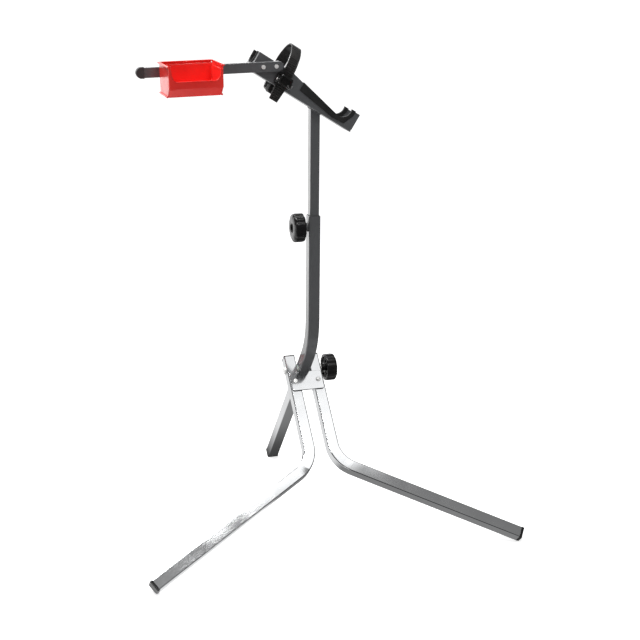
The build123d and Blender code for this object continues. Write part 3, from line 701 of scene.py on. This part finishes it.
# ---- weld beads -----------------------------------------------------------------------------------
def make_weld(name, body, places, radius, ripple):
    """Closed weld bead through places, rippled along its run."""
    swelling = 0.16                  # share of the radius by which the bead swells and shrinks
    facets = 10
    count = len(places)
    rings = []
    travelled = 0.0
    for index, place in enumerate(places):
        before, after = places[index - 1], places[(index + 1) % count]
        heading = (after - before).normalized()
        side = heading.orthogonal().normalized()
        over = heading.cross(side)
        travelled += (place - before).length if index else 0.0
        swell = radius * (1 + swelling * sin(2 * pi * travelled / ripple))
        angles = [2 * pi * step / facets for step in range(facets)]
        rings.append([place + swell * (cos(angle) * side + sin(angle) * over) for angle in angles])
    bead = new_object(name, *skin(rings, closed=True), sharp=60)
    settle(bead, body, looks["grey_paint"])


def make_welds():
    """Beads round the mast under the head, and round the clamp's boss on the column."""
    mast_side, mast_rounding, spacing, tuck = 20.4, 2.2, 0.6, 0.4
    outline = rounded_rectangle(mast_side, mast_side, mast_rounding, 4)
    dense = []
    for (x0, y0), (x1, y1) in zip(outline, outline[1:] + outline[:1]):
        steps = max(1, round(hypot(x1 - x0, y1 - y0) / spacing))
        dense += [(x0 + (x1 - x0) * step / steps, y0 + (y1 - y0) * step / steps) for step in range(steps)]
    slope = head_along.z / head_along.x
    round_mast = [
        Vector((x * mm, column_y + y * mm, head_origin.z + (slope * x - tuck) * mm)) for x, y in dense
    ]
    make_weld("mast_weld", "mast_head", round_mast, 1.5 * mm, 1.9 * mm)

    boss_radius = 8.1 * mm
    boss_steps = 96
    _, column_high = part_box("outer_column")
    face_x = -column_high.x - 0.3 * mm                     # the column is centred on x = 0
    round_boss = []
    for step in range(boss_steps):
        angle = 2 * pi * step / boss_steps
        round_boss.append(Vector((
            face_x, column_y + boss_radius * cos(angle), upper_knob_axis.z + boss_radius * sin(angle)
        )))
    make_weld("boss_weld", "rear_frame", round_boss, 1.3 * mm, 1.7 * mm)


# ---- CAD nodes: materials and smooth shading ------------------------------------------------------
def smoothing_group(sharp):
    """Geometry nodes that join split vertices and smooth every edge flatter than an angle."""
    group = bpy.data.node_groups.new("smooth_by_angle", "GeometryNodeTree")
    group.interface.new_socket("Geometry", in_out="INPUT", socket_type="NodeSocketGeometry")
    group.interface.new_socket("Geometry", in_out="OUTPUT", socket_type="NodeSocketGeometry")
    source = group.nodes.new("NodeGroupInput")
    target = group.nodes.new("NodeGroupOutput")
    merge = group.nodes.new("GeometryNodeMergeByDistance")
    merge.inputs["Distance"].default_value = 1e-6
    faces = group.nodes.new("GeometryNodeSetShadeSmooth")
    faces.domain = "FACE"
    faces.inputs["Shade Smooth"].default_value = True
    edges = group.nodes.new("GeometryNodeSetShadeSmooth")
    edges.domain = "EDGE"
    edges.inputs["Shade Smooth"].default_value = False
    angle = group.nodes.new("GeometryNodeInputMeshEdgeAngle")
    steeper = group.nodes.new("FunctionNodeCompare")
    steeper.data_type = "FLOAT"
    steeper.operation = "GREATER_THAN"
    steeper.inputs["B"].default_value = radians(sharp)
    group.links.new(angle.outputs["Unsigned Angle"], steeper.inputs["A"])
    group.links.new(steeper.outputs["Result"], edges.inputs["Selection"])
    group.links.new(source.outputs[0], merge.inputs["Geometry"])
    group.links.new(merge.outputs["Geometry"], faces.inputs["Geometry"])
    group.links.new(faces.outputs["Geometry"], edges.inputs["Geometry"])
    group.links.new(edges.outputs["Geometry"], target.inputs[0])
    return group


def dress_cad_nodes():
    """Give every carried-over CAD node its slot's material, and smooth its rounded faces."""
    slots = {part["node"]: part["material_slot"] for part in frame["record"]["subparts"]}
    crisp_angle = 28
    smoothing = smoothing_group(crisp_angle)
    for name, node in frame["nodes"].items():
        node.data.materials.clear()
        node.data.materials.append(looks["cap" if name == "arm_end_cap" else slots[name]])
        normals = node.data.attributes.get("custom_normal")
        if normals:
            node.data.attributes.remove(normals)
        node.modifiers.new("smooth_by_angle", "NODES").node_group = smoothing
        flatten(node)


# ---- studio ---------------------------------------------------------------------------------------
# The floor and the surround show white to the eye, a graded grey to reflections, and an even light to
# everything else. Places are metres.
ceiling_height = 2.6
card_half_x, card_half_y = 0.50, 0.63


def math_node(tree, operation, first, second):
    """Math node on sockets or plain numbers; gives its output socket."""
    node = tree.nodes.new("ShaderNodeMath")
    node.operation = operation
    for index, value in enumerate((first, second)):
        if isinstance(value, (int, float)):
            node.inputs[index].default_value = value
        else:
            tree.links.new(value, node.inputs[index])
    return node.outputs["Value"]


def eased(tree, value, start, end, low, high):
    """Smooth step of a socket from start..end to low..high."""
    node = tree.nodes.new("ShaderNodeMapRange")
    node.interpolation_type = "SMOOTHSTEP"
    for name, number in (("From Min", start), ("From Max", end), ("To Min", low), ("To Max", high)):
        node.inputs[name].default_value = number
    tree.links.new(value, node.inputs["Value"])
    return node.outputs["Result"]


def either(tree, factor, without, shader):
    """One shader where the factor is off and another where it is on."""
    mix = tree.nodes.new("ShaderNodeMixShader")
    for socket, value in zip(("Fac", 1, 2), (factor, without, shader)):
        tree.links.new(value, mix.inputs[socket])
    return mix.outputs["Shader"]


def coordinates(tree, kind):
    """The x, y and z sockets of a texture coordinate."""
    parts = tree.nodes.new("ShaderNodeSeparateXYZ")
    tree.links.new(tree.nodes.new("ShaderNodeTexCoord").outputs[kind], parts.inputs["Vector"])
    return parts.outputs["X"], parts.outputs["Y"], parts.outputs["Z"]


def area_lamp(name, width, depth, watts, place, tilt):
    """Soft rectangular lamp; tilt is its turn about x and about y, in degrees."""
    data = bpy.data.lights.new(name, "AREA")
    data.shape = "RECTANGLE"
    data.size, data.size_y = width, depth
    data.energy = watts
    lamp = bpy.data.objects.new(name, data)
    lamp.location = (*place, ceiling_height)
    lamp.rotation_euler = (radians(tilt[0]), radians(tilt[1]), 0)
    bpy.context.scene.collection.objects.link(lamp)


def flat_sheet(name, half_x, half_y, face):
    """Flat rectangle about its own origin, with its corners in the order that face gives."""
    corners = [(-half_x, -half_y, 0), (half_x, -half_y, 0), (half_x, half_y, 0), (-half_x, half_y, 0)]
    return new_object(name, corners, [face])


def add_floor():
    """Pale sweep, a hair under the feet."""
    size, gap = 30.0, 0.0002
    floor = flat_sheet("floor", size, size, (0, 1, 2, 3))
    floor.location.z = cad_low.z - gap
    floor.data.materials.append(floor_material())


def add_card():
    """White card over the stand's right front, seen only in reflections."""
    card = flat_sheet("reflection_card", card_half_x, card_half_y, (3, 2, 1, 0))
    card.location = (0.62, -0.672, ceiling_height)
    card.rotation_euler = (0, 0, radians(15.3))
    card.data.materials.append(card_material())
    for kind in ("camera", "diffuse", "shadow", "transmission", "volume_scatter"):
        setattr(card, "visible_" + kind, False)


def add_surround():
    """World: white to the eye, a dark room with a grey ceiling and a bright backdrop to reflections."""
    world = bpy.data.worlds.new("studio")
    bpy.context.scene.world = world
    world.use_nodes = True
    tree = world.node_tree
    x, y, z = coordinates(tree, "Generated")
    ceiling = math_node(
        tree, "MULTIPLY", eased(tree, z, 0.45, 0.82, 0.03, 0.27), eased(tree, x, 0.22, 0.42, 1.2, 0.8)
    )
    backdrop = eased(tree, y, 0.70, 0.92, 0.0, 1.5)
    room = tree.nodes["Background"]
    room.inputs["Color"].default_value = (1, 1, 1, 1)
    tree.links.new(math_node(tree, "ADD", ceiling, backdrop), room.inputs["Strength"])
    white = tree.nodes.new("ShaderNodeBackground")
    white.inputs["Strength"].default_value = 1.05
    even = tree.nodes.new("ShaderNodeBackground")
    even.inputs["Strength"].default_value = 0.55
    path = tree.nodes.new("ShaderNodeLightPath")
    glossy, camera = path.outputs["Is Glossy Ray"], path.outputs["Is Camera Ray"]
    unseen = either(tree, glossy, even.outputs["Background"], room.outputs["Background"])
    seen = either(tree, camera, unseen, white.outputs["Background"])
    tree.links.new(seen, tree.nodes["World Output"].inputs["Surface"])


def card_material():
    """Soft-edged white emitter for the reflection card."""
    material = bpy.data.materials.new("white_card")
    material.use_nodes = True
    tree = material.node_tree
    tree.nodes.remove(tree.nodes["Principled BSDF"])
    x, y, _ = coordinates(tree, "Object")
    side_fade, front_fade, brightness = 0.1, 0.05, 1.15
    across = math_node(tree, "ABSOLUTE", x, 0.0)
    sides = eased(tree, across, card_half_x - side_fade, card_half_x, 1.0, 0.0)
    front = eased(tree, y, -card_half_y, front_fade - card_half_y, 0.12, 1.25)
    back = eased(tree, y, -0.45, -0.15, 1.0, 0.76)
    strength = math_node(tree, "MULTIPLY", math_node(tree, "MULTIPLY", sides, front), back)
    glow = tree.nodes.new("ShaderNodeEmission")
    tree.links.new(math_node(tree, "MULTIPLY", strength, brightness), glow.inputs["Strength"])
    tree.links.new(glow.outputs["Emission"], tree.nodes["Material Output"].inputs["Surface"])
    return material


def floor_material():
    """White sweep: bright to the eye, and a graded grey in the metal's reflections."""
    material = bpy.data.materials.new("white_sweep")
    material.use_nodes = True
    tree = material.node_tree
    shader = tree.nodes["Principled BSDF"]
    shader.inputs["Base Color"].default_value = (0.92, 0.92, 0.92, 1)
    shader.inputs["Roughness"].default_value = 0.9
    shader.inputs["Specular IOR Level"].default_value = 0.1
    shader.inputs["Emission Color"].default_value = (1, 1, 1, 1)
    path = tree.nodes.new("ShaderNodeLightPath")
    lift = math_node(tree, "MULTIPLY", path.outputs["Is Camera Ray"], 0.72)
    tree.links.new(lift, shader.inputs["Emission Strength"])
    x, y, _ = coordinates(tree, "Object")
    front = eased(tree, y, -0.42, -0.30, 0.03, 0.26)
    left = math_node(
        tree, "MULTIPLY", eased(tree, x, -0.10, -0.02, 0.62, 0.0), eased(tree, y, -0.42, -0.30, 0.0, 1.0)
    )
    # painted shade: the floor is dimmer in reflections behind the rear foot, standing in for the foot's contact
    # shadow
    heel_painted_shade = math_node(
        tree, "MULTIPLY", eased(tree, y, 0.17, 0.29, 0.0, -0.20), eased(tree, x, -0.04, -0.01, 0.0, 1.0)
    )
    far = eased(tree, y, 0.8, 2.4, 0.0, 0.7)
    strength = math_node(tree, "ADD", math_node(tree, "ADD", front, left), math_node(tree, "ADD", heel_painted_shade, far))
    glow = tree.nodes.new("ShaderNodeEmission")
    tree.links.new(strength, glow.inputs["Strength"])
    mixed = either(tree, path.outputs["Is Glossy Ray"], shader.outputs["BSDF"], glow.outputs["Emission"])
    tree.links.new(mixed, tree.nodes["Material Output"].inputs["Surface"])
    return material


def add_studio():
    """Pale floor, an overhead panel, a small key lamp in front, the reflection card and the surround."""
    add_floor()
    area_lamp("overhead_panel", 1.0, 0.8, 48, (-0.75, 0.1), (0, -14))
    area_lamp("key_panel", 0.3, 0.3, 8, (0.15, -1.15), (29, 4))
    add_card()
    add_surround()
    bpy.context.scene.view_settings.view_transform = "Standard"


def add_camera():
    """Camera at standing height, to the left of the stand, looking slightly down on it."""
    yaw, pitch, roll = radians(17.45), radians(17.57), radians(0.54)
    distance = 2.5927
    target = Vector((0.0169, column_y, 0.4608))
    forward = Vector((sin(yaw) * cos(pitch), cos(yaw) * cos(pitch), -sin(pitch)))
    level = Vector((cos(yaw), -sin(yaw), 0))
    steep = level.cross(forward)
    right = cos(roll) * level + sin(roll) * steep
    up = -sin(roll) * level + cos(roll) * steep
    data = bpy.data.cameras.new("camera")
    data.lens = 67.5
    data.sensor_width = 36.0
    camera = bpy.data.objects.new("camera", data)
    turn = Matrix((right, up, -forward)).transposed().to_4x4()
    camera.matrix_world = Matrix.Translation(target - distance * forward) @ turn
    bpy.context.scene.collection.objects.link(camera)
    bpy.context.scene.camera = camera


looks = make_looks()
dress_cad_nodes()
column_half, boss_length, knob_gap = 12.5, 6.0, 0.4
upper_back = -(column_half + boss_length + knob_gap) * mm
upper_start = Vector((upper_back, column_y, upper_knob_axis.z))
make_knob("upper_knob_body", "upper_knob", "upper_knob", upper_start, Vector((-1, 0, 0)), 3.3)
lower_body_start = 50.7              # millimetres from the stand's middle to the knob's own back
lower_low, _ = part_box("lower_knob")
lower_start = Vector((lower_low.x, lower_knob_axis.y, lower_knob_axis.z))
lower_neck = lower_body_start - lower_low.x / mm
make_knob("lower_knob_body", "lower_knob", "lower_knob", lower_start, Vector((1, 0, 0)), lower_neck)
make_strap()
make_buckle()
make_anchor()
make_tray()
make_welds()
add_studio()
add_camera()
